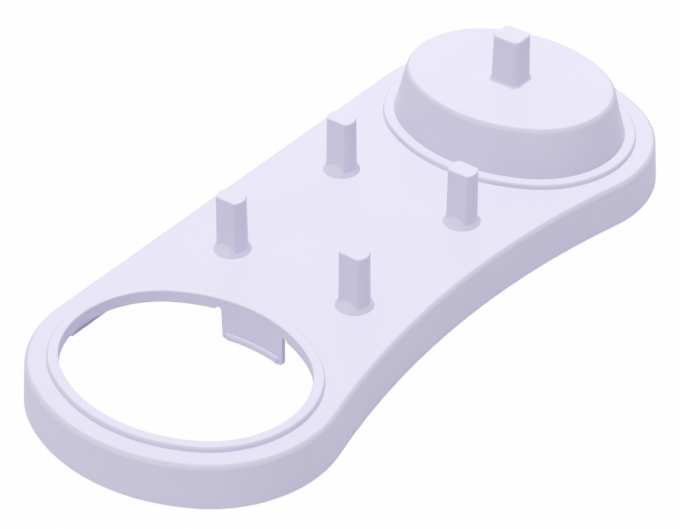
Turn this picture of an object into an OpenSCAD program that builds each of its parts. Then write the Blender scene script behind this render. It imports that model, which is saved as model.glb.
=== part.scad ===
// Electric toothbrush holder: a low moulded tray with an oval opening for a charger at the left,
// an oval plinth with a peg for a brush handle at the right, and a 2 by 2 grid of brush-head pegs between.
// X runs along the tray, Y towards the straight back edge, Z up; the feet stand on Z = 0.

/* [Oval openings] */
// Distance between the centres of the two oval openings
opening_spacing = 123; // [118:0.5:136]
// Width of each opening along the tray
opening_w = 47.7; // [46:0.1:49]
// Depth of each opening from front to back
opening_d = 59.5; // [57:0.1:62]
// Radius of the tight arcs at the front and back of an opening, as a share of half its width
opening_end_share = 0.9015; // [0.86:0.005:0.935]

/* [Plate and skirt] */
// Width of the border around an opening, measured at the foot of the skirt
border = 8.3; // [7.8:0.1:10]
// How far the front edge is drawn in between its two round ends
waist_depth = 7.8; // [5:0.1:10]
// Height of the skirt from its foot to the top of the plate
skirt_h = 11; // [10.5:0.1:14]
// How far the skirt leans in from its foot to the plate
skirt_lean = 0.8; // [0.3:0.1:1.2]
// Thickness of the skirt
skirt_wall = 1.3; // [1:0.1:1.6]
// Thickness of the plate
plate_t = 2; // [1.6:0.1:2.4]
// Radius of the rounded edge where the skirt meets the plate
edge_r = 1.1; // [0.6:0.1:1.3]

/* [Raised rims] */
// Width of the raised rim around an opening
rim_w = 2.6; // [2:0.1:3.2]
// Height of the rim above the plate
rim_h = 1.2; // [0.9:0.1:1.6]
// Radius of the rim's rounded shoulder
rim_shoulder_r = 0.8; // [0.4:0.1:0.8]

/* [Snap clips] */
// Width of a clip along the edge of its opening
clip_w = 17.8; // [14:0.2:20]
// Thickness of a clip
clip_t = 1.1; // [0.9:0.1:1.3]
// Height of the clip's lower edge above the surface that the holder stands on
clip_clear = 1.5; // [1:0.1:1.8]
// Radius of the clip's lower corners
clip_corner_r = 1.2; // [0.8:0.1:1.6]
// How far the catch stands into the opening
catch_reach = 0.7; // [0.5:0.1:1]
// Width of the catch
catch_w = 15.2; // [10:0.2:16]
// Height of the catch's upper slope
catch_slope_h = 0.6; // [0.5:0.1:0.9]
// Height of the catch's upright face
catch_face_h = 0.6; // [0.5:0.1:0.9]
// Radius of the round hinge bead at the top of a clip
bead_r = 0.6; // [0.5:0.05:0.65]
// Length of the hinge bead
bead_w = 6; // [4:0.5:7]
// Width of the relief notch at each side of a clip
relief_w = 1.4; // [1:0.1:2]
// Height of the relief notch in the edge of the plate
relief_h = 0.6; // [0.4:0.1:0.8]

/* [Handle plinth] */
// Height of the plinth above the plate
plinth_h = 13; // [11:0.1:16]
// How far the plinth's wall leans in from the rim to its top
plinth_lean = 3; // [2:0.1:3.4]
// Radius of the plinth's rounded top edge
plinth_edge_r = 1; // [0.6:0.1:1.2]
// Thickness of the plinth's wall
plinth_wall = 1.5; // [1.2:0.1:1.7]
// Thickness of the plinth's top
plinth_top_t = 1.8; // [1.5:0.1:2.2]
// Width of the lip that bears on the underside of the plate
lip_w = 1.8; // [1.4:0.1:2]
// Thickness of the lip
lip_t = 1.3; // [1:0.1:1.6]
// Length of the lip along each end of the oval
lip_len = 24; // [16:1:26]

/* [Handle peg] */
// Height of the handle peg above the plinth
handle_peg_h = 12.3; // [10:0.1:14]
// Width of the handle peg at its top, along the tray
handle_peg_w = 6.7; // [6:0.1:7]
// Depth of the handle peg at its top, from front to back
handle_peg_d = 7.7; // [7:0.1:8]
// Distance of the handle peg's rounded corners from its axis, at its top
handle_peg_r = 4.4; // [4.1:0.05:4.6]
// How far each side of the handle peg leans in from its foot to its top
handle_peg_lean = 0.2; // [0.05:0.05:0.3]
// Height and width of the flare at the foot of the handle peg
handle_peg_flare = 0.7; // [0.4:0.1:0.9]
// Radius of the handle peg's stem inside the plinth
handle_stem_r = 3; // [2.6:0.1:3.2]
// Length of the handle peg's stem
handle_stem_len = 9; // [7:0.5:10]

/* [Brush pegs] */
// Distance between the brush pegs along the tray
peg_spacing_x = 41.2; // [38:0.1:44]
// Distance between the brush pegs from front to back
peg_spacing_y = 35.4; // [32:0.1:37]
// How far the grid of pegs is set towards the back
peg_grid_back = 2.4; // [1.5:0.1:3]
// Height of a brush peg above the plate
peg_h = 14.6; // [12:0.1:18]
// Radius of a brush peg at its top
peg_r = 3.55; // [3.3:0.05:3.8]
// Distance across the two flats of a brush peg at its top
peg_flats = 4.8; // [4.2:0.1:5.4]
// How far each side of a brush peg leans in from its foot to its top
peg_lean = 0.15; // [0.05:0.05:0.25]
// Radius of the conical collar at the plate
collar_r = 4.5; // [4.2:0.1:5]
// Height at which the collar runs into the flats of its peg
collar_h = 2.5; // [1.8:0.1:3]
// Radius of a brush peg's stem under the plate
peg_stem_r = 2.2; // [1.8:0.1:2.5]
// Length of a brush peg's stem
peg_stem_len = 7; // [5:0.5:7.5]
// Small chamfer at the top of every peg
peg_chamfer = 0.3; // [0.2:0.05:0.5]

/* [Feet] */
// How far the rubber feet stand out below the skirt
foot_proud = 0.5; // [0.4:0.1:1]
// Radius of a foot's pad
foot_r = 3; // [2.6:0.1:3]
// Thickness of a foot's pad
foot_pad_t = 1.6; // [1.4:0.1:2]
// Radius of a foot's stem
foot_stem_r = 1.5; // [1.2:0.1:1.7]
// Length of a foot's stem
foot_stem_len = 4; // [3:0.5:5]
// Where the feet sit around the oval, as an angle from the tray's long axis
foot_angle = 52; // [46:1:56]

/* [Underside] */
// Outer radius of the bosses that hold the brush pegs
boss_r = 4; // [3.6:0.1:4.4]
// Height of the ribs and bosses under the plate
rib_h = 6; // [5:0.1:7]
// Thickness of the ribs
rib_t = 1.2; // [1:0.1:1.4]
// Width of the cable outlet in the back of the skirt
outlet_w = 7; // [6:0.5:9]
// Height of the cable outlet
outlet_h = 5.5; // [5:0.1:6]

/* [Hidden] */
$fn = 96;

// Clearance between pieces that pass each other or move
loose_gap = 0.15;
// Clearance round a pushed-in stem
push_gap = 0.05;
// Clearance round a hinge bead
bead_gap = 0.08;
// Every cut runs past the faces it opens by this much, and every added form is sunk this far into its carrier
overrun = 1;
sink = 0.3;
// Straight steps in a rounded edge
edge_steps = 3;
// Flat steps along the drawn-in front, along each side of an oval and along half of each end
front_steps = 20;
side_steps = 16;
end_steps = 15;
// Colours of the moulding and of the rubber feet
moulding = [0.86, 0.85, 0.94];
rubber = [0.62, 0.61, 0.68];

// Heights
plate_top = foot_proud + skirt_h;
plate_under = plate_top - plate_t;
rim_top = plate_top + rim_h;
plinth_top = plate_top + plinth_h;

// The oval of an opening is four tangent arcs: two end arcs and two side arcs
half_w = opening_w / 2;
half_d = opening_d / 2;
opening_end_r = half_w * opening_end_share;
end_c = half_d - opening_end_r;
side_r = (half_w * half_w + end_c * end_c - opening_end_r * opening_end_r) / (2 * (half_w - opening_end_r));
side_c = side_r - half_w;
side_angle = atan2(end_c, side_c);
half_spacing = opening_spacing / 2;

// The drawn-in front edge is one arc tangent to both ends; its centre lies in front of the tray
end_outer_r = opening_end_r + border;
waist_y = half_d + border - waist_depth;
waist_lift = waist_y - end_c;
waist_r = (half_spacing * half_spacing + waist_lift * waist_lift - end_outer_r * end_outer_r)
    / (2 * (end_outer_r - waist_lift));
waist_c = waist_r + waist_y;
centre_gap = waist_r + end_outer_r;
waist_angle = atan2(half_spacing, waist_c - end_c);

// Clips: the hinge bead runs along the outer face of the clip and sits in the underside of the plate
bead_x = half_w + clip_t;
clip_top = plate_under - loose_gap;
catch_top = clip_clear + catch_slope_h + catch_face_h + catch_reach;

// Plinth
plinth_foot = catch_top + 2 * loose_gap;
lip_top = plate_under;

// Peg stems and the bosses that hold them
boss_low = plate_under - rib_h;

// Feet: the post follows the middle of the border between the opening and the skirt
foot_band = (border - skirt_lean - skirt_wall) / 2;
foot_path_r = opening_end_r + foot_band;
foot_x = half_spacing + foot_path_r * cos(foot_angle);
foot_y = end_c + foot_path_r * sin(foot_angle);

// Outlines are counterclockwise lists of points. Their offset is measured outside the edge of an opening.

function arc_points(centre, radius, start, end, steps) = [
    for (i = [0 : steps - 1])
        let (angle = start + (end - start) * i / steps)
            centre + radius * [cos(angle), sin(angle)]
];

// One oval about the origin
function oval_outline(offset) = concat(
    arc_points([-side_c, 0], side_r + offset, -side_angle, side_angle, side_steps),
    arc_points([0, end_c], opening_end_r + offset, side_angle, 180 - side_angle, 2 * end_steps),
    arc_points([side_c, 0], side_r + offset, 180 - side_angle, 180 + side_angle, side_steps),
    arc_points([0, -end_c], opening_end_r + offset, 180 + side_angle, 360 - side_angle, 2 * end_steps)
);

// The whole tray, counterclockwise from the middle of its straight back: the left end, the drawn-in front
// and the right end
function tray_outline(offset) = let (end_r = opening_end_r + offset, x = half_spacing) concat(
    [[0, half_d + offset]],
    arc_points([-x, end_c], end_r, 90, 180 - side_angle, end_steps),
    arc_points([side_c - x, 0], side_r + offset, 180 - side_angle, 180 + side_angle, side_steps),
    arc_points([-x, -end_c], end_r, 180 + side_angle, 270 + waist_angle, end_steps),
    arc_points([0, -waist_c], centre_gap - end_r, 90 + waist_angle, 90 - waist_angle, front_steps),
    arc_points([x, -end_c], end_r, 270 - waist_angle, 360 - side_angle, end_steps),
    arc_points([x - side_c, 0], side_r + offset, -side_angle, side_angle, side_steps),
    arc_points([x, end_c], end_r, side_angle, 90, end_steps),
    [[x, half_d + offset]]
);

// A closed body from [offset, height] levels, low to high, and the outline at each level
module stacked_body(levels, outlines) {
    count = len(outlines[0]);
    last = len(levels) - 1;
    points = [for (k = [0 : last]) for (p = outlines[k]) [p[0], p[1], levels[k][1]]];
    bottom = [for (i = [0 : count - 1]) i];
    top = [for (i = [0 : count - 1]) last * count + (count - i) % count];
    sides = [
        for (k = [0 : last - 1])
            for (i = [0 : count - 1])
                let (next = (i + 1) % count)
                    [k * count + i, (k + 1) * count + i, (k + 1) * count + next, k * count + next]
    ];
    polyhedron(points = points, faces = concat([bottom, top], sides));
}

module oval_body(levels) {
    stacked_body(levels, [for (level = levels) oval_outline(level[0])]);
}

module tray_body(levels) {
    stacked_body(levels, [for (level = levels) tray_outline(level[0])]);
}

// An upright oval between two heights
module oval_prism(offset, low, high) {
    translate([0, 0, low]) linear_extrude(height = high - low) polygon(oval_outline(offset));
}

// The points of a rounded outside corner at its top, as straight steps
function round_steps(x, y, radius) = [
    for (i = [0 : edge_steps])
        let (angle = 90 * i / edge_steps)
            [x - radius + radius * cos(angle), y - radius + radius * sin(angle)]
];

// Levels of the skirt and the plate, and of the hollow under them
skirt_lean_at_edge = skirt_lean * (1 - edge_r / skirt_h);
skirt_levels = concat([[border, foot_proud]], round_steps(border - skirt_lean_at_edge, plate_top, edge_r));
cavity_levels = [
    [border - skirt_wall, foot_proud - overrun],
    [border - skirt_wall, foot_proud],
    [border - skirt_wall - skirt_lean, plate_under]
];

rim_levels = concat([[rim_w, plate_top - sink]], round_steps(rim_w, rim_top, rim_shoulder_r));

// The plinth and the hollow in it
plinth_lean_at_edge = plinth_lean * (1 - plinth_edge_r / (plinth_top - rim_top));
plinth_levels = concat(
    [[-loose_gap, plinth_foot], [-loose_gap, rim_top]],
    round_steps(-loose_gap - plinth_lean_at_edge, plinth_top, plinth_edge_r)
);
plinth_hollow_levels = [
    [-loose_gap - plinth_wall, plinth_foot - overrun],
    [-loose_gap - plinth_wall, rim_top],
    [-loose_gap - plinth_wall - plinth_lean, plinth_top - plinth_top_t]
];

module at_openings() {
    for (side = [-1, 1]) translate([side * half_spacing, 0, 0]) children();
}

module at_pegs() {
    for (x = [-1, 1]) {
        for (y = [-1, 1]) {
            translate([x * peg_spacing_x / 2, peg_grid_back + y * peg_spacing_y / 2, 0]) children();
        }
    }
}

module at_feet() {
    for (x = [-1, 1]) {
        for (y = [-1, 1]) translate([x * foot_x, y * foot_y, 0]) children();
    }
}

// Both clips of an opening, turned so that the clip drawn on the +X side serves both
module at_clips() {
    at_openings() {
        for (turn = [0, 180]) rotate([0, 0, turn]) children();
    }
}

module rib_frame() {
    peg_low_y = peg_grid_back - peg_spacing_y / 2;
    for (y = [0, 1]) {
        translate([-peg_spacing_x / 2, peg_low_y + y * peg_spacing_y - rib_t / 2, boss_low])
            cube([peg_spacing_x, rib_t, rib_h + sink]);
    }
    for (x = [-1, 1]) {
        translate([x * peg_spacing_x / 2 - rib_t / 2, peg_low_y, boss_low])
            cube([rib_t, peg_spacing_y, rib_h + sink]);
    }
}

module clip_reliefs() {
    for (side = [-1, 1]) {
        translate([half_w / 2, side * (clip_w + relief_w) / 2 - relief_w / 2, plate_under - overrun])
            cube([half_w / 2 + relief_w / 2, relief_w, relief_h + overrun]);
    }
}

module cable_outlet() {
    translate([-half_spacing, half_d, foot_proud + outlet_h - outlet_w / 2])
        rotate([-90, 0, 0]) cylinder(r = outlet_w / 2, h = border + overrun);
    translate([-half_spacing - outlet_w / 2, half_d, -overrun])
        cube([outlet_w, border + overrun, foot_proud + overrun + outlet_h - outlet_w / 2]);
}

module tray_shell() {
    color(moulding)
        difference() {
            union() {
                difference() {
                    tray_body(skirt_levels);
                    tray_body(cavity_levels);
                }
                at_openings() oval_body(rim_levels);
                at_pegs() translate([0, 0, boss_low]) cylinder(r = boss_r, h = rib_h + sink);
                rib_frame();
                at_feet() translate([0, 0, foot_pad_t])
                    cylinder(r = foot_r, h = plate_under + sink - foot_pad_t);
            }
            at_openings() oval_prism(0, -overrun, rim_top + overrun);
            at_pegs() translate([0, 0, -overrun])
                cylinder(r = peg_stem_r + push_gap, h = plate_top + 2 * overrun);
            at_feet() translate([0, 0, -overrun])
                cylinder(r = foot_stem_r + push_gap, h = foot_pad_t + foot_stem_len + 2 * overrun);
            at_clips() translate([bead_x, 0, plate_under]) rotate([90, 0, 0])
                cylinder(r = bead_r + bead_gap, h = bead_w + 2 * loose_gap, center = true);
            at_clips() clip_reliefs();
            cable_outlet();
        }
}

module clip_leaf_outline() {
    straight = clip_w - 2 * clip_corner_r;
    corner_z = clip_clear + clip_corner_r;
    translate([-clip_w / 2, corner_z]) square([clip_w, clip_top - corner_z]);
    translate([-straight / 2, clip_clear]) square([straight, clip_corner_r + sink]);
    for (side = [-1, 1]) translate([side * straight / 2, corner_z]) circle(r = clip_corner_r);
}

// A band on the side of an oval, from [distance outside the opening's edge, height] corners, true to the arc
module side_band(corners) {
    translate([-side_c, 0, 0])
        rotate([0, 0, -side_angle])
            rotate_extrude(angle = 2 * side_angle) polygon([for (p = corners) [side_r + p[0], p[1]]]);
}

// One clip on the +X side of an opening whose centre is the origin
module clip_body() {
    intersection() {
        side_band([[0, 0], [clip_t, 0], [clip_t, clip_top], [0, clip_top]]);
        rotate([90, 0, 90]) linear_extrude(height = opening_w) clip_leaf_outline();
    }
    intersection() {
        side_band([
            [sink, clip_clear],
            [0, clip_clear],
            [-catch_reach, clip_clear + catch_slope_h],
            [-catch_reach, clip_clear + catch_slope_h + catch_face_h],
            [0, catch_top],
            [sink, catch_top]
        ]);
        translate([0, -catch_w / 2, 0]) cube([opening_w, catch_w, plate_under]);
    }
    translate([bead_x, 0, plate_under]) rotate([90, 0, 0]) cylinder(r = bead_r, h = bead_w, center = true);
}

module charger_clip_inner() {
    color(moulding) translate([-half_spacing, 0, 0]) clip_body();
}

module charger_clip_outer() {
    color(moulding) translate([-half_spacing, 0, 0]) rotate([0, 0, 180]) clip_body();
}

module plinth_clip_inner() {
    color(moulding) translate([half_spacing, 0, 0]) rotate([0, 0, 180]) clip_body();
}

module plinth_clip_outer() {
    color(moulding) translate([half_spacing, 0, 0]) clip_body();
}

module handle_plinth() {
    stem_boss_r = handle_stem_r + plinth_wall;
    color(moulding)
        translate([half_spacing, 0, 0])
            difference() {
                union() {
                    difference() {
                        union() {
                            oval_body(plinth_levels);
                            intersection() {
                                oval_prism(lip_w, lip_top - lip_t, lip_top);
                                translate([-lip_len / 2, -opening_d, 0])
                                    cube([lip_len, 2 * opening_d, plate_under]);
                            }
                        }
                        oval_body(plinth_hollow_levels);
                    }
                    translate([0, 0, plinth_top - handle_stem_len - overrun])
                        cylinder(r = stem_boss_r, h = handle_stem_len + overrun - sink);
                }
                translate([0, 0, plinth_top - handle_stem_len - 2 * overrun])
                    cylinder(r = handle_stem_r + push_gap, h = handle_stem_len + 3 * overrun);
            }
}

// A bar with two flats that face along X, its width given at its foot and at its top
module two_flat_bar(foot_w, top_w, length, height) {
    rotate([90, 0, 0])
        linear_extrude(height = length, center = true)
            polygon([[-foot_w / 2, 0], [foot_w / 2, 0], [top_w / 2, height], [-top_w / 2, height]]);
}

// A length of a two-flat peg. The radius and the flats hold for its top and grow towards its foot.
module two_flat_length(radius, flats, grow, height) {
    intersection() {
        cylinder(r1 = radius + grow, r2 = radius, h = height);
        two_flat_bar(flats + 2 * grow, flats, 4 * radius, height);
    }
}

// A length of a four-flat peg: rectangular, with its corners on a circle
module four_flat_length(radius, width, depth, grow, height) {
    intersection() {
        cylinder(r1 = radius + grow, r2 = radius, h = height);
        two_flat_bar(width + 2 * grow, width, 4 * radius, height);
        rotate([0, 0, 90]) two_flat_bar(depth + 2 * grow, depth, 4 * radius, height);
    }
}

module handle_peg() {
    shaft = handle_peg_h - peg_chamfer;
    tip_w = handle_peg_w - 2 * peg_chamfer;
    tip_d = handle_peg_d - 2 * peg_chamfer;
    color(moulding)
        translate([half_spacing, 0, plinth_top]) {
            four_flat_length(handle_peg_r, handle_peg_w, handle_peg_d, handle_peg_lean, shaft);
            translate([0, 0, shaft])
                four_flat_length(handle_peg_r - peg_chamfer, tip_w, tip_d, peg_chamfer, peg_chamfer);
            four_flat_length(handle_peg_r, handle_peg_w, handle_peg_d, handle_peg_flare, handle_peg_flare);
            translate([0, 0, -handle_stem_len]) cylinder(r = handle_stem_r, h = handle_stem_len + sink);
        }
}

// One brush peg with its collar and stem, at column x and row y of the grid, each -1 or 1
module brush_peg(x, y) {
    shaft = peg_h - peg_chamfer;
    color(moulding)
        translate([x * peg_spacing_x / 2, peg_grid_back + y * peg_spacing_y / 2, plate_top]) {
            cylinder(r1 = collar_r, r2 = peg_flats / 2, h = collar_h);
            two_flat_length(peg_r, peg_flats, peg_lean, shaft);
            translate([0, 0, shaft])
                two_flat_length(peg_r - peg_chamfer, peg_flats - 2 * peg_chamfer, peg_chamfer, peg_chamfer);
            translate([0, 0, -peg_stem_len]) cylinder(r = peg_stem_r, h = peg_stem_len + sink);
        }
}

// One rubber foot at end x and side y, each -1 or 1
module rubber_foot(x, y) {
    chamfer = foot_pad_t / 4;
    color(rubber)
        translate([x * foot_x, y * foot_y, 0]) {
            cylinder(r1 = foot_r - chamfer, r2 = foot_r, h = chamfer);
            translate([0, 0, chamfer]) cylinder(r = foot_r, h = foot_pad_t - chamfer);
            cylinder(r = foot_stem_r, h = foot_pad_t + foot_stem_len);
        }
}

module brush_peg_front_left() {
    brush_peg(-1, -1);
}

module brush_peg_front_right() {
    brush_peg(1, -1);
}

module brush_peg_back_left() {
    brush_peg(-1, 1);
}

module brush_peg_back_right() {
    brush_peg(1, 1);
}

module foot_front_left() {
    rubber_foot(-1, -1);
}

module foot_front_right() {
    rubber_foot(1, -1);
}

module foot_back_left() {
    rubber_foot(-1, 1);
}

module foot_back_right() {
    rubber_foot(1, 1);
}

tray_shell();
charger_clip_inner();
charger_clip_outer();
plinth_clip_inner();
plinth_clip_outer();
handle_plinth();
handle_peg();
brush_peg_front_left();
brush_peg_front_right();
brush_peg_back_left();
brush_peg_back_right();
foot_front_left();
foot_front_right();
foot_back_left();
foot_back_right();
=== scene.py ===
"""Electric toothbrush holder, dressed around its CAD frame.

A low moulded tray with an oval opening for a charger, a two by two grid of pegs for brush heads and an oval
plinth with a peg for the handle. All sizes are in millimetres until a mesh is finished.
"""

import logging
import math
from dataclasses import dataclass
from enum import Enum
from itertools import pairwise, product

import bmesh
import bpy
from mathutils import Matrix, Vector


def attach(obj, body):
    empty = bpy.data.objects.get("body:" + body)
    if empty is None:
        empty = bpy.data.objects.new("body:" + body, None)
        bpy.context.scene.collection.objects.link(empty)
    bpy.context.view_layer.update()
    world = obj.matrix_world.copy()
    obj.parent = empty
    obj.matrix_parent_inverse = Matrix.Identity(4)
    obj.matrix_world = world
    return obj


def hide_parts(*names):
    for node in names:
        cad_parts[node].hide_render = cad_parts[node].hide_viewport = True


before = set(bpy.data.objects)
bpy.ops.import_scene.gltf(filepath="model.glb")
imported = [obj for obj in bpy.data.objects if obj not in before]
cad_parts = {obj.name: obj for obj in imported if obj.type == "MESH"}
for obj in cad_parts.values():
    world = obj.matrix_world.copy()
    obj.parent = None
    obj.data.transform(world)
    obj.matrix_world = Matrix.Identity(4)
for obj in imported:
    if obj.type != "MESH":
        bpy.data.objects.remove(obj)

log = logging.getLogger("toothbrush_holder")

Point = tuple[float, float]
Pair = tuple[float, float]
Place = tuple[float, float, float]
Size = tuple[float, float, float]
Geometry = list[bmesh.types.BMVert | bmesh.types.BMEdge | bmesh.types.BMFace]

MM = 0.001
MERGE = 0.002
# A cut takes a vertex this near to its plane as lying on it
ON_PLANE = 0.0001
SHARP_ANGLE = math.radians(38)
QUARTER_TURN = math.pi / 2
FULL_TURN = 360
WHITE = "#FFFFFF"
# Colour sockets of a Mix node, by number because their names repeat
MIX_FIRST = 6
MIX_SECOND = 7
MIX_RESULT = 2


class Body(Enum):
    """The rigid bodies of the CAD frame."""

    TRAY = "tray"
    CHARGER_CLIP_INNER = "charger_clip_inner"
    CHARGER_CLIP_OUTER = "charger_clip_outer"
    PLINTH_CLIP_INNER = "plinth_clip_inner"
    PLINTH_CLIP_OUTER = "plinth_clip_outer"


class Slot(Enum):
    """The material slots of the record."""

    MOULDING = "moulding"
    FOOT_RUBBER = "foot_rubber"


def linear_colour(hex_colour: str) -> tuple[float, float, float, float]:
    """Turns an sRGB hex colour to linear RGBA.

    Args:
        hex_colour: six hex digits after a hash sign.

    Returns:
        The linear colour with an alpha of one.
    """
    channels = [int(hex_colour[i : i + 2], 16) / 255 for i in (1, 3, 5)]
    linear = [c / 12.92 if c <= 0.04045 else ((c + 0.055) / 1.055) ** 2.4 for c in channels]
    return (linear[0], linear[1], linear[2], 1.0)


def add_node(
    tree: bpy.types.NodeTree,
    kind: str,
    settings: dict[str, object] | None = None,
    values: dict[str | int, object] | None = None,
    links: dict[str | int, bpy.types.NodeSocket] | None = None,
) -> bpy.types.Node:
    """Adds one node with its settings, socket values and incoming links.

    Args:
        tree: the node tree to add to.
        kind: the node's type name.
        settings: attributes of the node.
        values: default values of its input sockets, by name or number.
        links: output sockets that feed its input sockets, by name or number.

    Returns:
        The new node.
    """
    node = tree.nodes.new(kind)
    for name, value in (settings or {}).items():
        setattr(node, name, value)
    for name, value in (values or {}).items():
        node.inputs[name].default_value = value
    for name, socket in (links or {}).items():
        tree.links.new(socket, node.inputs[name])
    return node


def blank_material(name: str) -> tuple[bpy.types.Material, bpy.types.NodeTree, bpy.types.Node]:
    """Makes a material with a node tree.

    Args:
        name: the material's name.

    Returns:
        The material, its node tree and its shader.
    """
    material = bpy.data.materials.new(name)
    material.use_nodes = True
    return material, material.node_tree, material.node_tree.nodes["Principled BSDF"]


@dataclass(frozen=True)
class MouldedAbs:
    """Finish of the tray, plinth, pegs and clips: ABS, injection-moulded in a polished tool."""

    # To the eye: one even pale lilac, a satin gloss that drifts a little, and a faint orange-peel wave
    name: str = "moulded_abs_pale_lilac"
    colour: str = "#C5BFDA"
    shade: str = "#C1BBD7"
    roughness: float = 0.4
    roughness_spread: float = 0.04
    ior: float = 1.53
    # Cooling marks in the skin, which drift over a centimetre or two
    flow_mm: float = 14.0
    # The skin's own wave is about 0.3 mm; 0.8 mm is the finest that shows at the photograph's scale
    skin_mm: float = 0.8
    skin_height_mm: float = 0.004
    skin_strength: float = 0.5

    def material(self) -> bpy.types.Material:
        """Builds the node material.

        Returns:
            The material.
        """
        material, tree, shader = blank_material(self.name)
        place = add_node(tree, "ShaderNodeTexCoord")
        flow = add_node(
            tree,
            "ShaderNodeTexNoise",
            values={"Scale": 1 / (self.flow_mm * MM), "Detail": 2.0, "Roughness": 0.5},
            links={"Vector": place.outputs["Object"]},
        )
        skin = add_node(
            tree,
            "ShaderNodeTexNoise",
            values={"Scale": 1 / (self.skin_mm * MM), "Detail": 3.0, "Roughness": 0.55},
            links={"Vector": place.outputs["Object"]},
        )
        tint = add_node(
            tree,
            "ShaderNodeMix",
            settings={"data_type": "RGBA"},
            values={MIX_FIRST: linear_colour(self.colour), MIX_SECOND: linear_colour(self.shade)},
            links={"Factor": flow.outputs["Fac"]},
        )
        gloss = add_node(
            tree,
            "ShaderNodeMapRange",
            values={
                "To Min": self.roughness - self.roughness_spread,
                "To Max": self.roughness + self.roughness_spread,
            },
            links={"Value": flow.outputs["Fac"]},
        )
        bump = add_node(
            tree,
            "ShaderNodeBump",
            values={"Strength": self.skin_strength, "Distance": self.skin_height_mm * MM},
            links={"Height": skin.outputs["Fac"]},
        )
        shader.inputs["IOR"].default_value = self.ior
        tree.links.new(tint.outputs[MIX_RESULT], shader.inputs["Base Color"])
        tree.links.new(gloss.outputs["Result"], shader.inputs["Roughness"])
        tree.links.new(bump.outputs["Normal"], shader.inputs["Normal"])
        return material


@dataclass(frozen=True)
class MouldedElastomer:
    """Finish of the feet: thermoplastic elastomer, moulded in an eroded tool."""

    # To the eye: a matt grey, a little darker than the tray, with a fine grain that grips
    name: str = "moulded_tpe_grey"
    colour: str = "#A5A3AE"
    shade: str = "#96949F"
    roughness: float = 0.72
    ior: float = 1.49
    grain_mm: float = 0.35
    grain_height_mm: float = 0.03
    grain_strength: float = 0.6

    def material(self) -> bpy.types.Material:
        """Builds the node material.

        Returns:
            The material.
        """
        material, tree, shader = blank_material(self.name)
        place = add_node(tree, "ShaderNodeTexCoord")
        grain = add_node(
            tree,
            "ShaderNodeTexNoise",
            values={"Scale": 1 / (self.grain_mm * MM), "Detail": 4.0, "Roughness": 0.6},
            links={"Vector": place.outputs["Object"]},
        )
        tint = add_node(
            tree,
            "ShaderNodeMix",
            settings={"data_type": "RGBA"},
            values={MIX_FIRST: linear_colour(self.colour), MIX_SECOND: linear_colour(self.shade)},
            links={"Factor": grain.outputs["Fac"]},
        )
        bump = add_node(
            tree,
            "ShaderNodeBump",
            values={"Strength": self.grain_strength, "Distance": self.grain_height_mm * MM},
            links={"Height": grain.outputs["Fac"]},
        )
        shader.inputs["IOR"].default_value = self.ior
        shader.inputs["Roughness"].default_value = self.roughness
        tree.links.new(tint.outputs[MIX_RESULT], shader.inputs["Base Color"])
        tree.links.new(bump.outputs["Normal"], shader.inputs["Normal"])
        return material


@dataclass(frozen=True)
class Turn:
    """One arc of a path: centre, and angle in degrees, counterclockwise if positive."""

    centre: Point
    angle: float


@dataclass(frozen=True)
class Run:
    """One straight stretch of a path."""

    step: Point


@dataclass(frozen=True)
class Corner:
    """A corner of a profile: distance outside an opening's edge or an axis, height, and rounding."""

    offset: float
    height: float
    rounding: float = 0.0


def edges_of(items: Geometry) -> list[bmesh.types.BMEdge]:
    """Picks the edges out of an operator's result."""
    return [item for item in items if isinstance(item, bmesh.types.BMEdge)]


def verts_of(items: Geometry) -> list[bmesh.types.BMVert]:
    """Picks the vertices out of an operator's result."""
    return [item for item in items if isinstance(item, bmesh.types.BMVert)]


def round_off(
    mesh: bmesh.types.BMesh,
    geometry: Geometry,
    rounding: float,
    segments: int,
    affect: str = "VERTICES",
) -> None:
    """Rounds the corners of a wire or a face, or the edges of a body.

    Args:
        mesh: the mesh that holds them.
        geometry: the vertices or edges.
        rounding: how far each is rounded back.
        segments: the number of steps of the rounding.
        affect: VERTICES or EDGES.
    """
    bmesh.ops.bevel(
        mesh,
        geom=geometry,
        offset=rounding,
        offset_type="OFFSET",
        segments=segments,
        profile=0.5,
        affect=affect,
        material=-1,
        clamp_overlap=True,
    )


def wire_profile(mesh: bmesh.types.BMesh, corners: list[Corner], place: Matrix) -> Geometry:
    """Draws a profile as a wire and rounds its corners.

    Args:
        mesh: the mesh to draw in.
        corners: the profile, in order.
        place: takes (offset, 0, height) to the start of the path.

    Returns:
        The wire's vertices and edges.
    """
    before = set(mesh.verts)
    verts = [mesh.verts.new(place @ Vector((c.offset, 0, c.height))) for c in corners]
    for ends in pairwise(verts):
        mesh.edges.new(ends)
    for vert, corner in zip(verts, corners, strict=True):
        if corner.rounding > 0:
            round_off(mesh, [vert], corner.rounding, segments=6)
    drawn = [v for v in mesh.verts if v not in before]
    wires = dict.fromkeys(e for v in drawn for e in v.link_edges)
    return drawn + list(wires)


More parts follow.
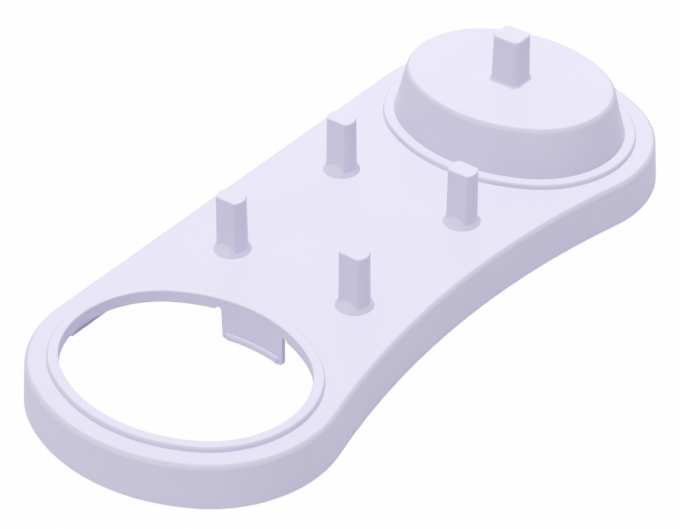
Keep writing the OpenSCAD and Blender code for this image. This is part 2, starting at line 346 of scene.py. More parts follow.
def carry(
    mesh: bmesh.types.BMesh,
    wire: Geometry,
    path: list[Turn | Run],
    step_degrees: float = 2.0,
) -> None:
    """Sweeps a wire or a face along a path of arcs and straight runs.

    Args:
        mesh: the mesh that holds the wire.
        wire: the wire's vertices and edges.
        path: the legs of the path, in order.
        step_degrees: the longest step of an arc.
    """
    geometry = wire
    for leg in path:
        if isinstance(leg, Turn):
            steps = max(2, math.ceil(abs(leg.angle) / step_degrees))
            result = bmesh.ops.spin(
                mesh,
                geom=geometry,
                cent=(*leg.centre, 0),
                axis=(0, 0, 1),
                dvec=(0, 0, 0),
                angle=math.radians(leg.angle),
                space=Matrix.Identity(4),
                steps=steps,
                use_merge=abs(leg.angle) == FULL_TURN,
                use_normal_flip=False,
                use_duplicate=False,
            )
            geometry = result["geom_last"]
        else:
            result = bmesh.ops.extrude_edge_only(mesh, edges=edges_of(geometry))
            moved = verts_of(result["geom"])
            bmesh.ops.translate(mesh, verts=moved, vec=(*leg.step, 0))
            inside = set(moved)
            geometry = moved + [e for e in edges_of(result["geom"]) if set(e.verts) <= inside]


def turn_profile(
    mesh: bmesh.types.BMesh, corners: list[Corner], axis: Point, step_degrees: float
) -> None:
    """Turns a profile once round an upright axis, its offsets being radii."""
    wire = wire_profile(mesh, corners, Matrix.Translation((*axis, 0)))
    carry(mesh, wire, [Turn(axis, FULL_TURN)], step_degrees)


def block(mesh: bmesh.types.BMesh, size: Size, centre: Place) -> list[bmesh.types.BMVert]:
    """Adds a block that is bevelled or cut with afterwards.

    Args:
        mesh: the mesh to add to.
        size: its width, depth and height.
        centre: its middle.

    Returns:
        Its vertices.
    """
    verts = bmesh.ops.create_cube(mesh, size=1)["verts"]
    bmesh.ops.scale(mesh, vec=size, verts=verts)
    bmesh.ops.translate(mesh, vec=centre, verts=verts)
    return verts


def rim_edges(mesh: bmesh.types.BMesh, height: float) -> list[bmesh.types.BMEdge]:
    """Finds the open edges that lie at a height."""
    return [e for e in mesh.edges if e.is_boundary and all(abs(v.co.z - height) < MERGE for v in e.verts)]


def fill_flat(mesh: bmesh.types.BMesh, height: float, up: bool) -> None:
    """Closes the flat region between the open edges at a height, holes and all."""
    normal = (0, 0, 1) if up else (0, 0, -1)
    bmesh.ops.triangle_fill(
        mesh, use_beauty=True, use_dissolve=False, edges=rim_edges(mesh, height), normal=normal
    )


def weld(mesh: bmesh.types.BMesh) -> None:
    """Merges the doubles and points all faces outwards."""
    bmesh.ops.remove_doubles(mesh, verts=mesh.verts[:], dist=MERGE)
    bmesh.ops.recalc_face_normals(mesh, faces=mesh.faces[:])


def cut_away(target: bpy.types.Object, cutters: list[bpy.types.Object]) -> None:
    """Cuts closed bodies out of a piece, and removes the cutters.

    Args:
        target: the piece that is cut.
        cutters: the bodies that are cut out of it.
    """
    for cutter in cutters:
        modifier = target.modifiers.new("cut", "BOOLEAN")
        modifier.operation = "DIFFERENCE"
        modifier.solver = "EXACT"
        modifier.object = cutter
    bpy.context.view_layer.update()
    evaluated = target.evaluated_get(bpy.context.evaluated_depsgraph_get())
    cut = bpy.data.meshes.new_from_object(evaluated)
    target.modifiers.clear()
    old = target.data
    target.data = cut
    bpy.data.meshes.remove(old)
    for cutter in cutters:
        bpy.data.objects.remove(cutter)


def as_object(mesh: bmesh.types.BMesh, name: str) -> bpy.types.Object:
    """Turns a mesh drawn in millimetres to an object in metres, at the origin.

    Args:
        mesh: the drawn mesh, which is freed.
        name: the object's name.

    Returns:
        The object.
    """
    bmesh.ops.scale(mesh, vec=(MM, MM, MM), verts=mesh.verts[:])
    data = bpy.data.meshes.new(name)
    mesh.to_mesh(data)
    mesh.free()
    piece = bpy.data.objects.new(name, data)
    bpy.context.scene.collection.objects.link(piece)
    return piece


def dress(
    piece: bpy.types.Object,
    material: bpy.types.Material,
    body: Body,
    stands_for: tuple[str, ...] = (),
) -> None:
    """Shades a piece smoothly, gives it its material and sets it on its body.

    Args:
        piece: the finished piece.
        material: its material.
        body: the body that it rides on.
        stands_for: the CAD nodes that it replaces.
    """
    data = piece.data
    data.materials.clear()
    data.materials.append(material)
    data.polygons.foreach_set("use_smooth", [True] * len(data.polygons))
    data.polygons.foreach_set("material_index", [0] * len(data.polygons))
    data.set_sharp_from_angle(angle=SHARP_ANGLE)
    weighted = piece.modifiers.new("even_shading", "WEIGHTED_NORMAL")
    weighted.mode = "FACE_AREA"
    weighted.keep_sharp = True
    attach(piece, body.value)
    if stands_for:
        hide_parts(*stands_for)
    log.info("%s: %d faces on body %s", piece.name, len(data.polygons), body.value)


@dataclass(frozen=True)
class Oval:
    """The outline of an opening: two end arcs joined by two flatter side arcs."""

    half_width: float = 23.85
    half_depth: float = 29.75
    end_radius: float = 21.5

    @property
    def end_centre(self) -> float:
        """Distance of an end arc's centre from the oval's centre."""
        return self.half_depth - self.end_radius

    @property
    def side_radius(self) -> float:
        """Radius of the side arcs, from their tangency with the end arcs."""
        squares = self.half_width**2 + self.end_centre**2 - self.end_radius**2
        return squares / (2 * (self.half_width - self.end_radius))

    @property
    def side_centre(self) -> float:
        """Distance of a side arc's centre from the oval's centre."""
        return self.side_radius - self.half_width

    @property
    def side_angle(self) -> float:
        """Half the angle of a side arc, in degrees."""
        return math.degrees(math.atan2(self.end_centre, self.side_centre))

    def path(self, x: float) -> list[Turn]:
        """The way round the oval, counterclockwise from its +X side.

        Args:
            x: the oval's centre along the tray.

        Returns:
            The arcs in order.
        """
        half = self.side_angle
        right, left = (x - self.side_centre, 0.0), (x + self.side_centre, 0.0)
        return [
            Turn(right, half),
            Turn((x, self.end_centre), 180 - 2 * half),
            Turn(left, 2 * half),
            Turn((x, -self.end_centre), 180 - 2 * half),
            Turn(right, half),
        ]

    def sweep(self, mesh: bmesh.types.BMesh, x: float, corners: list[Corner]) -> None:
        """Sweeps a profile once round the oval centred at x."""
        start = Matrix.Translation((x + self.half_width, 0, 0))
        carry(mesh, wire_profile(mesh, corners, start), self.path(x))


@dataclass(frozen=True)
class Layout:
    """Heights and places that the sub-assemblies share."""

    half_spacing: float = 61.5
    plate_top: float = 11.5
    plate_under: float = 9.5
    rim_height: float = 1.2
    clip_width: float = 17.8
    peg_column: float = 20.6
    peg_rows: Pair = (-15.3, 20.1)
    foot_column: float = 76.645
    foot_row: float = 27.635

    @property
    def rim_top(self) -> float:
        """Height of the rims' flat tops."""
        return self.plate_top + self.rim_height


@dataclass
class TrayShell:
    """Plate, skirt and the two raised rims, hollow from below."""

    oval: Oval
    layout: Layout
    material: bpy.types.Material
    border: float = 8.3
    waist_depth: float = 7.8
    foot_height: float = 0.5
    lean: float = 0.8
    wall: float = 1.3
    # Where the swept skirt ends and the flat plate is filled in, outside an opening's edge
    flat_margin: float = 5.4
    edge_rounding: float = 1.1
    ceiling_rounding: float = 0.4
    inner_foot_rounding: float = 0.2
    outer_foot_rounding: float = 0.25
    rim_width: float = 2.6
    rim_shoulder: float = 0.5
    rim_spread: float = 0.1
    rim_fillet: float = 0.06
    rim_apron: float = 0.9
    # Inner top edges of the charger's opening and of the one that the plinth fills
    opening_roundings: Pair = (0.3, 0.04)
    relief_width: float = 1.4
    relief_height: float = 0.6
    outlet_width: float = 7.0
    outlet_height: float = 5.5
    outlet_facets: int = 96

    def front_arc(self) -> Pair:
        """The arc of the drawn-in front, from its tangency with the round ends.

        Returns:
            The distance of its centre in front of the tray's middle, and half its angle in degrees.
        """
        half_spacing = self.layout.half_spacing
        end_radius = self.oval.end_radius + self.border
        waist = self.oval.half_depth + self.border - self.waist_depth
        lift = waist - self.oval.end_centre
        squares = half_spacing**2 + lift**2 - end_radius**2
        centre = squares / (2 * (end_radius - lift)) + waist
        return centre, math.degrees(math.atan2(half_spacing, centre - self.oval.end_centre))

    def outline(self) -> list[Turn | Run]:
        """The way round the tray, from the middle of its straight back, counterclockwise.

        Returns:
            The arcs and straight runs in order.
        """
        x, oval = self.layout.half_spacing, self.oval
        centre, waist_angle = self.front_arc()
        quarter = 90 - oval.side_angle
        return [
            Run((-x, 0)),
            Turn((-x, oval.end_centre), quarter),
            Turn((oval.side_centre - x, 0), 2 * oval.side_angle),
            Turn((-x, -oval.end_centre), quarter + waist_angle),
            Turn((0, -centre), -2 * waist_angle),
            Turn((x, -oval.end_centre), quarter + waist_angle),
            Turn((x - oval.side_centre, 0), 2 * oval.side_angle),
            Turn((x, oval.end_centre), quarter),
            Run((-x, 0)),
        ]

    def skirt_corners(self) -> list[Corner]:
        """Profile of the skirt, from the underside of the plate round the foot to its top.

        Returns:
            The corners in order.
        """
        top, under = self.layout.plate_top, self.layout.plate_under
        inner_foot = self.border - self.wall
        return [
            Corner(self.flat_margin, under),
            Corner(inner_foot - self.lean, under, self.ceiling_rounding),
            Corner(inner_foot, self.foot_height, self.inner_foot_rounding),
            Corner(self.border, self.foot_height, self.outer_foot_rounding),
            Corner(self.border - self.lean, top, self.edge_rounding),
            Corner(self.flat_margin, top),
        ]

    def rim_corners(self, opening_rounding: float) -> list[Corner]:
        """Profile of a rim and its opening, from the top of the plate to its underside."""
        return [
            Corner(self.rim_width + self.rim_apron, self.layout.plate_top),
            Corner(self.rim_width + self.rim_spread, self.layout.plate_top, self.rim_fillet),
            Corner(self.rim_width, self.layout.rim_top, self.rim_shoulder),
            Corner(0, self.layout.rim_top, opening_rounding),
            Corner(0, self.layout.plate_under),
        ]

    def relief_cutters(self) -> list[bpy.types.Object]:
        """Makes the bodies of the relief notches beside the clips.

        Returns:
            The eight bodies.
        """
        cutters = []
        size = (2 * self.relief_width, self.relief_width, 2 * self.relief_height)
        for opening, side, end in product((-1, 1), repeat=3):
            y = end * (self.layout.clip_width + self.relief_width) / 2
            sag = y**2 / (2 * self.oval.side_radius)
            x = opening * self.layout.half_spacing + side * (self.oval.half_width - sag)
            mesh = bmesh.new()
            block(mesh, size, (x, y, self.layout.plate_under))
            cutters.append(as_object(mesh, "relief_cutter"))
        return cutters

    def outlet_cutter(self) -> bpy.types.Object:
        """Makes the body of the cable outlet, a slot with a round top through the back of the skirt.

        Returns:
            The body.
        """
        mesh = bmesh.new()
        radius = self.outlet_width / 2
        bmesh.ops.create_cone(
            mesh,
            cap_ends=True,
            segments=self.outlet_facets,
            radius1=radius,
            radius2=radius,
            depth=2 * self.border,
        )
        along_y = Matrix.Rotation(QUARTER_TURN, 3, "X")
        bmesh.ops.rotate(mesh, cent=(0, 0, 0), matrix=along_y, verts=mesh.verts[:])
        lower = [v for v in mesh.verts if v.co.z < -MERGE]
        bmesh.ops.translate(mesh, vec=(0, 0, -self.outlet_height), verts=lower)
        back = self.oval.half_depth + self.border
        height = self.foot_height + self.outlet_height - radius
        bmesh.ops.translate(mesh, vec=(-self.layout.half_spacing, back, height), verts=mesh.verts[:])
        return as_object(mesh, "outlet_cutter")

    def build(self) -> None:
        """Builds the shell as one closed mesh, cuts its openings and dresses it."""
        mesh = bmesh.new()
        start = Matrix.Translation((0, self.oval.half_depth, 0)) @ Matrix.Rotation(QUARTER_TURN, 4, "Z")
        carry(mesh, wire_profile(mesh, self.skirt_corners(), start), self.outline())
        for side, rounding in zip((-1, 1), self.opening_roundings, strict=True):
            self.oval.sweep(mesh, side * self.layout.half_spacing, self.rim_corners(rounding))
        bmesh.ops.remove_doubles(mesh, verts=mesh.verts[:], dist=MERGE)
        fill_flat(mesh, self.layout.plate_top, up=True)
        fill_flat(mesh, self.layout.plate_under, up=False)
        weld(mesh)
        shell = as_object(mesh, "tray_shell_skin")
        cut_away(shell, [*self.relief_cutters(), self.outlet_cutter()])
        dress(shell, self.material, Body.TRAY, ("tray_shell",))


@dataclass(frozen=True)
class HollowBoss:
    """A tube that hangs under a plate and widens where it meets it."""

    low: float
    plate_under: float
    radius: float
    bore: float
    flare: float = 0.0
    lean: float = 0.0
    bore_rounding: float = 0.25
    foot_rounding: float = 0.3
    sunk: float = 0.2
    step_degrees: float = 5.0

    def add_to(self, mesh: bmesh.types.BMesh, axis: Point) -> None:
        """Turns the tube round an upright axis, its end sunk in the plate.

        Args:
            mesh: the mesh to add to.
            axis: the tube's axis, along and across the tray.
        """
        top = self.plate_under + self.sunk
        corners = [
            Corner(self.bore, top),
            Corner(self.bore, self.low, self.bore_rounding),
            Corner(self.radius, self.low, self.foot_rounding),
            Corner(self.radius + self.lean, self.plate_under - self.flare),
            Corner(self.radius + self.flare, self.plate_under),
            Corner(self.radius + self.flare, top),
        ]
        turn_profile(mesh, corners, axis, self.step_degrees)


@dataclass
class Underside:
    """Ribs, peg bosses and foot posts under the plate."""

    layout: Layout
    material: bpy.types.Material
    rib_height: float = 6.0
    rib_thickness: float = 1.2
    rib_rounding: float = 0.2
    rib_sunk: float = 0.2
    boss_radius: float = 4.0
    boss_bore: float = 2.25
    boss_flare: float = 0.5
    post_radius: float = 3.0
    post_bore: float = 1.55
    post_foot: float = 1.6

    def ribs(self, mesh: bmesh.types.BMesh, low: float) -> None:
        """Adds the four ribs that join the peg bosses.

        Args:
            mesh: the mesh to add to.
            low: the height of their lower edges.
        """
        top = self.layout.plate_under + self.rib_sunk
        column = self.layout.peg_column
        near, far = self.layout.peg_rows
        bars = [(0.0, y, 2 * column, self.rib_thickness) for y in (near, far)]
        bars += [(side * column, (near + far) / 2, self.rib_thickness, far - near) for side in (-1, 1)]
        for x, y, width, depth in bars:
            verts = block(mesh, (width, depth, top - low), (x, y, (top + low) / 2))
            edges = dict.fromkeys(e for v in verts for e in v.link_edges)
            lower = [e for e in edges if all(v.co.z < low + MERGE for v in e.verts)]
            round_off(mesh, lower, self.rib_rounding, segments=3, affect="EDGES")

    def build(self) -> None:
        """Builds ribs, bosses and posts as one piece and dresses it."""
        mesh = bmesh.new()
        layout = self.layout
        low = layout.plate_under - self.rib_height
        self.ribs(mesh, low)
        boss = HollowBoss(low, layout.plate_under, self.boss_radius, self.boss_bore, self.boss_flare)
        for axis in product((-layout.peg_column, layout.peg_column), layout.peg_rows):
            boss.add_to(mesh, axis)
        post = HollowBoss(self.post_foot, layout.plate_under, self.post_radius, self.post_bore)
        for column, row in product((-1, 1), repeat=2):
            post.add_to(mesh, (column * layout.foot_column, row * layout.foot_row))
        weld(mesh)
        ribs = as_object(mesh, "underside_ribs_and_posts")
        dress(ribs, self.material, Body.TRAY)


@dataclass(frozen=True)
class FlattedPeg:
    """A tapered peg, round with flats, with softened arrises, a flared foot and a stem below."""

    height: float
    radius: float
    half_width: float
    # At or over the radius there is no flat on that side
    half_depth: float
    taper: float
    flare: float
    arris: float
    top_rounding: float
    stem_radius: float
    stem_length: float
    stem_lead: float = 0.2
    sunk: float = 0.3
    facets: int = 128
    stem_facets: int = 64
    round_steps: int = 7

    def section(self, mesh: bmesh.types.BMesh) -> list[bmesh.types.BMEdge]:
        """Draws the peg's section at its top and softens its corners.

        Args:
            mesh: an empty mesh.

        Returns:
            The section's edges.
        """
        bmesh.ops.create_circle(mesh, cap_ends=True, radius=self.radius, segments=self.facets)
        cuts = [(Vector((side, 0, 0)), self.half_width) for side in (-1, 1)]
        cuts += [(Vector((0, side, 0)), self.half_depth) for side in (-1, 1)]
        corners: list[bmesh.types.BMVert] = []
        for normal, distance in cuts:
            if distance < self.radius:
                result = bmesh.ops.bisect_plane(
                    mesh,
                    geom=mesh.verts[:] + mesh.edges[:] + mesh.faces[:],
                    dist=ON_PLANE,
                    plane_co=normal * distance,
                    plane_no=normal,
                    clear_outer=True,
                )
                corners += verts_of(result["geom_cut"])
        kept = [v for v in dict.fromkeys(corners) if v.is_valid]
        round_off(mesh, kept, self.arris, segments=6)
        bmesh.ops.delete(mesh, geom=mesh.faces[:], context="FACES_ONLY")
        return mesh.edges[:]

    def stages(self) -> list[Pair]:
        """The peg's taper and roundings, from below its foot to its top.

        Returns:
            Heights over the foot, each with the growth of the section there.
        """
        quarter = [math.radians(90 * i / self.round_steps) for i in range(self.round_steps + 1)]
        stages = [(-self.sunk, self.taper + self.flare)]
        if self.flare > 0:
            for angle in quarter:
                rise, spread = 1 - math.cos(angle), 1 - math.sin(angle)
                stages.append((self.flare * rise, self.taper + self.flare * spread))
        shoulder = self.height - self.top_rounding
        for angle in quarter:
            rise, spread = math.sin(angle), math.cos(angle) - 1
            stages.append((shoulder + self.top_rounding * rise, self.top_rounding * spread))
        return stages

    def build(self, name: str, foot: Place) -> bpy.types.Object:
        """Builds the peg and the stem below it.

        Args:
            name: the piece's name.
            foot: the middle of the peg's foot.

        Returns:
            The peg.
        """
        mesh = bmesh.new()
        bottom = self.section(mesh)
        width, depth = min(self.half_width, self.radius), min(self.half_depth, self.radius)
        current, reached, grown = bottom, 0.0, 0.0
        verts = mesh.verts[:]
        for index, (height, growth) in enumerate(self.stages()):
            if index:
                result = bmesh.ops.extrude_edge_only(mesh, edges=current)
                verts = verts_of(result["geom"])
                moved = set(verts)
                current = [e for e in edges_of(result["geom"]) if set(e.verts) <= moved]
            bmesh.ops.translate(mesh, vec=(0, 0, height - reached), verts=verts)
            factors = ((width + growth) / (width + grown), (depth + growth) / (depth + grown), 1)
            bmesh.ops.scale(mesh, vec=factors, verts=verts)
            reached, grown = height, growth
        for rim in (bottom, current):
            bmesh.ops.contextual_create(mesh, geom=rim)
        stem = bmesh.ops.create_cone(
            mesh,
            cap_ends=True,
            segments=self.stem_facets,
            radius1=self.stem_radius - self.stem_lead,
            radius2=self.stem_radius,
            depth=self.stem_length,
        )["verts"]
        bmesh.ops.translate(mesh, vec=(0, 0, -self.stem_length / 2), verts=stem)
        bmesh.ops.translate(mesh, vec=foot, verts=mesh.verts[:])
        weld(mesh)
        return as_object(mesh, name)


@dataclass
class HandlePlinth:
    """The oval cup that stands in the right-hand opening, with its fittings inside and its peg on top."""

    oval: Oval
    layout: Layout
    material: bpy.types.Material
    foot: float = 3.7
    top: float = 24.5
    seam: float = 0.03
    lean: float = 3.0
    # How far under the rim's top the wall starts to lean
    lean_start: float = 0.1
    wall: float = 1.5
    top_thickness: float = 1.8
    # Where the swept wall ends and the flat top is filled in, inside the wall
    flat_margin: float = 2.5
    edge_rounding: float = 1.0
    foot_rounding: float = 0.25
    ceiling_rounding: float = 0.8
    lip_width: float = 1.8
    lip_bite: float = 0.8
    lip_low: float = 8.2
    lip_top: float = 9.45
    lip_half_length: float = 12.0
    lip_step_degrees: float = 2.6
    boss_radius: float = 4.5
    boss_bore: float = 3.05
    boss_low: float = 14.5
    boss_flare: float = 0.5
    boss_lean: float = 0.1
    peg: FlattedPeg = FlattedPeg(
        height=12.3,
        radius=4.4,
        half_width=3.35,
        half_depth=3.85,
        taper=0.2,
        flare=0.7,
        arris=1.4,
        top_rounding=0.5,
        stem_radius=3.0,
        stem_length=9.0,
    )

    @property
    def ceiling(self) -> float:
        """Height of the underside of the top."""
        return self.top - self.top_thickness

    def cup(self) -> bpy.types.Object:
        """Builds the cup as one closed shell.

        Returns:
            The cup.
        """
        mesh = bmesh.new()
        outside, inside = -self.seam, -self.seam - self.wall
        rim_top = self.layout.rim_top
        corners = [
            Corner(outside - self.lean - self.flat_margin, self.top),
            Corner(outside - self.lean, self.top, self.edge_rounding),
            Corner(outside, rim_top - self.lean_start),
            Corner(outside, self.foot, self.foot_rounding),
            Corner(inside, self.foot, self.foot_rounding),
            Corner(inside, rim_top),
            Corner(inside - self.lean, self.ceiling, self.ceiling_rounding),
            Corner(inside - self.lean - self.flat_margin, self.ceiling),
        ]
        self.oval.sweep(mesh, self.layout.half_spacing, corners)
        bmesh.ops.remove_doubles(mesh, verts=mesh.verts[:], dist=MERGE)
        fill_flat(mesh, self.top, up=True)
        fill_flat(mesh, self.ceiling, up=False)
        weld(mesh)
        return as_object(mesh, "handle_plinth_cup")

    def fittings(self) -> bpy.types.Object:
        """Builds the lips that bear on the plate and the boss under the top.

        Returns:
            Lips and boss as one piece.
        """
        mesh = bmesh.new()
        x = self.layout.half_spacing
        inner, outer = self.oval.end_radius - self.lip_bite, self.oval.end_radius + self.lip_width
        half = math.degrees(math.asin(self.lip_half_length / outer))
        loop = [(inner, self.lip_low), (outer, self.lip_low), (outer, self.lip_top), (inner, self.lip_top)]
        for side in (-1, 1):
            centre = (x, side * self.oval.end_centre)
            first = math.radians(side * 90 - half)
            start = Matrix.Translation((*centre, 0)) @ Matrix.Rotation(first, 4, "Z")
            verts = [mesh.verts.new(start @ Vector((r, 0, z))) for r, z in loop]
            face = mesh.faces.new(verts)
            carry(mesh, [*verts, *face.edges, face], [Turn(centre, 2 * half)], self.lip_step_degrees)
        boss = HollowBoss(
            self.boss_low, self.ceiling, self.boss_radius, self.boss_bore, self.boss_flare, self.boss_lean
        )
        boss.add_to(mesh, (x, 0))
        weld(mesh)
        return as_object(mesh, "plinth_lips_and_boss")

    def build(self) -> None:
        """Builds and dresses the cup, its fittings and the handle peg."""
        dress(self.cup(), self.material, Body.TRAY, ("handle_plinth",))
        dress(self.fittings(), self.material, Body.TRAY)
        peg = self.peg.build("handle_peg_shaft", (self.layout.half_spacing, 0.0, self.top))
        dress(peg, self.material, Body.TRAY, ("handle_peg",))


@dataclass
class BrushPegs:
    """The two by two grid of brush-head pegs with their conical collars."""

    layout: Layout
    material: bpy.types.Material
    collar_radius: float = 4.5
    collar_top_radius: float = 2.3
    collar_height: float = 2.62
    # Height of the collar's upright edge at the plate, and its rounding
    collar_edge: float = 0.05
    collar_core: float = 0.4
    collar_sunk: float = 0.3
    collar_step_degrees: float = 3.0
    peg: FlattedPeg = FlattedPeg(
        height=14.6,
        radius=3.55,
        half_width=2.4,
        half_depth=3.55,
        taper=0.15,
        flare=0.0,
        arris=1.0,
        top_rounding=0.3,
        stem_radius=2.2,
        stem_length=7.0,
    )

    def collar(self, axis: Point, name: str) -> bpy.types.Object:
        """Builds one collar as a turned cone that runs into the flats of its peg.

        Args:
            axis: its axis, along and across the tray.
            name: the piece's name.

        Returns:
            The collar.
        """
        mesh = bmesh.new()
        plate = self.layout.plate_top
        low, top = plate - self.collar_sunk, plate + self.collar_height
        corners = [
            Corner(self.collar_core, low),
            Corner(self.collar_radius, low),
            Corner(self.collar_radius, plate + self.collar_edge, self.collar_edge),
            Corner(self.collar_top_radius, top),
            Corner(self.collar_core, top),
            Corner(self.collar_core, low),
        ]
        turn_profile(mesh, corners, axis, self.collar_step_degrees)
        weld(mesh)
        return as_object(mesh, name)

    def build(self) -> None:
        """Builds and dresses the four pegs and collars."""
        columns = (("left", -self.layout.peg_column), ("right", self.layout.peg_column))
        rows = zip(("front", "back"), self.layout.peg_rows, strict=True)
        for (row, y), (column, x) in product(rows, columns):
            node = f"brush_peg_{row}_{column}"
            peg = self.peg.build(node + "_shaft", (x, y, self.layout.plate_top))
            dress(peg, self.material, Body.TRAY, (node,))
            dress(self.collar((x, y), node + "_collar"), self.material, Body.TRAY)


@dataclass
class SnapClips:
    """The four leaves with catches at the sides of the openings."""

    oval: Oval
    layout: Layout
    material: bpy.types.Material
    thickness: float = 1.1
    low: float = 1.5
    high: float = 9.75
    corner: float = 1.2
    arris: float = 0.12
    recess: float = 0.02
    side_lean: float = 0.15
    bend_step: float = 0.6
    catch_width: float = 15.2
    catch_reach: float = 0.7
    catch_height: float = 1.85
    catch_lift: float = 0.05
    catch_end: float = 0.8
    catch_facets: int = 48

    def bend(self, mesh: bmesh.types.BMesh) -> None:
        """Cuts a flat part across its width and bends it to the side of the oval.

        The part is drawn with x as the distance outside the opening's edge and y along the edge.

        Args:
            mesh: the part.
        """
        width = self.layout.clip_width
        count = math.ceil(width / self.bend_step)
        for i in range(1, count):
            y = width * (i / count - 0.5)
            bmesh.ops.bisect_plane(
                mesh,
                geom=mesh.verts[:] + mesh.edges[:] + mesh.faces[:],
                dist=ON_PLANE,
                plane_co=(0, y, 0),
                plane_no=(0, 1, 0),
            )
        for vert in mesh.verts:
            radius = self.oval.side_radius + vert.co.x
            angle = vert.co.y / self.oval.side_radius
            vert.co.x = radius * math.cos(angle) - self.oval.side_centre
            vert.co.y = radius * math.sin(angle)

    def leaf(self, mesh: bmesh.types.BMesh) -> None:
        """Draws the flat leaf with its two rounded lower corners.

        Args:
            mesh: an empty mesh.
        """
        half = self.layout.clip_width / 2
        foot = half - self.side_lean
        loop = [(-foot, self.low), (foot, self.low), (half, self.high), (-half, self.high)]
        verts = [mesh.verts.new((self.recess, y, z)) for y, z in loop]
        mesh.faces.new(verts)
        round_off(mesh, verts[:2], self.corner, segments=8)
        result = bmesh.ops.extrude_face_region(mesh, geom=list(mesh.faces))
        bmesh.ops.translate(mesh, vec=(self.thickness - self.recess, 0, 0), verts=verts_of(result["geom"]))
        bmesh.ops.recalc_face_normals(mesh, faces=mesh.faces[:])
        outline = [e for e in mesh.edges if e.verts[0].co.x == e.verts[1].co.x]
        below = [e for e in outline if any(v.co.z < self.high - MERGE for v in e.verts)]
        round_off(mesh, below, self.arris, segments=2, affect="EDGES")

    def catch(self, mesh: bmesh.types.BMesh) -> None:
        """Draws the catch, a bead along the foot of the leaf's inner face.

        Args:
            mesh: an empty mesh.
        """
        half = self.catch_width / 2
        half_height = self.catch_height / 2
        ring = bmesh.ops.create_circle(mesh, cap_ends=True, radius=1, segments=self.catch_facets)["verts"]
        bmesh.ops.scale(mesh, vec=(self.catch_reach, half_height, 1), verts=ring)
        upright = Matrix.Rotation(QUARTER_TURN, 3, "X")
        bmesh.ops.rotate(mesh, cent=(0, 0, 0), matrix=upright, verts=ring)
        bmesh.ops.translate(mesh, vec=(0, -half, self.low + self.catch_lift + half_height), verts=ring)
        result = bmesh.ops.extrude_face_region(mesh, geom=list(mesh.faces))
        bmesh.ops.translate(mesh, vec=(0, self.catch_width, 0), verts=verts_of(result["geom"]))
        for vert in mesh.verts:
            proud = max(0.0, -vert.co.x) / self.catch_reach
            vert.co.y *= 1 - self.catch_end * proud**2 / half

    def clip(self, name: str, opening: int, turn: float) -> bpy.types.Object:
        """Builds one clip.

        Args:
            name: the piece's name.
            opening: -1 for the charger's opening, 1 for the plinth's.
            turn: 0 for the clip on the +X side, pi for the other.

        Returns:
            The clip.
        """
        whole = bmesh.new()
        for draw in (self.leaf, self.catch):
            part = bmesh.new()
            draw(part)
            self.bend(part)
            bmesh.ops.recalc_face_normals(part, faces=part.faces[:])
            drawn = bpy.data.meshes.new("clip_part")
            part.to_mesh(drawn)
            part.free()
            whole.from_mesh(drawn)
            bpy.data.meshes.remove(drawn)
        bmesh.ops.rotate(whole, cent=(0, 0, 0), matrix=Matrix.Rotation(turn, 3, "Z"), verts=whole.verts[:])
        bmesh.ops.translate(whole, vec=(opening * self.layout.half_spacing, 0, 0), verts=whole.verts[:])
        return as_object(whole, name)

    def build(self) -> None:
        """Builds and dresses the four clips."""
        for body, opening, turn in (
            (Body.CHARGER_CLIP_INNER, -1, 0.0),
            (Body.CHARGER_CLIP_OUTER, -1, math.pi),
            (Body.PLINTH_CLIP_INNER, 1, math.pi),
            (Body.PLINTH_CLIP_OUTER, 1, 0.0),
        ):
            clip = self.clip(body.value + "_leaf", opening, turn)
            dress(clip, self.material, body, (body.value,))


@dataclass
class RubberFeet:
    """Four round pads on short stems."""

    layout: Layout
    material: bpy.types.Material
    radius: float = 3.0
    thickness: float = 1.6
    stem_radius: float = 1.5
    stem_top: float = 5.6
    sole_rounding: float = 0.45
    back_rounding: float = 0.15
    neck_rounding: float = 0.1
    stem_rounding: float = 0.3
    step_degrees: float = 5.0

    def build(self) -> None:
        """Builds and dresses the four feet."""
        corners = [
            Corner(0.0, 0.0),
            Corner(self.radius, 0.0, self.sole_rounding),
            Corner(self.radius, self.thickness, self.back_rounding),
            Corner(self.stem_radius, self.thickness, self.neck_rounding),
            Corner(self.stem_radius, self.stem_top, self.stem_rounding),
            Corner(0.0, self.stem_top),
        ]
        rows = (("front", -self.layout.foot_row), ("back", self.layout.foot_row))
        columns = (("left", -self.layout.foot_column), ("right", self.layout.foot_column))
        for (row, y), (column, x) in product(rows, columns):
            mesh = bmesh.new()
            turn_profile(mesh, corners, (x, y), self.step_degrees)
            weld(mesh)
            node = f"foot_{row}_{column}"
            dress(as_object(mesh, node + "_pad"), self.material, Body.TRAY, (node,))


@dataclass(frozen=True)
class SoftLight:
    """A square light: its place and its side in metres, its power in watts."""

    name: str
    place: Place
    size: float
    power: float
    # Whether it is only seen mirrored in the skin, and throws no shadow
    mirrored_only: bool = False


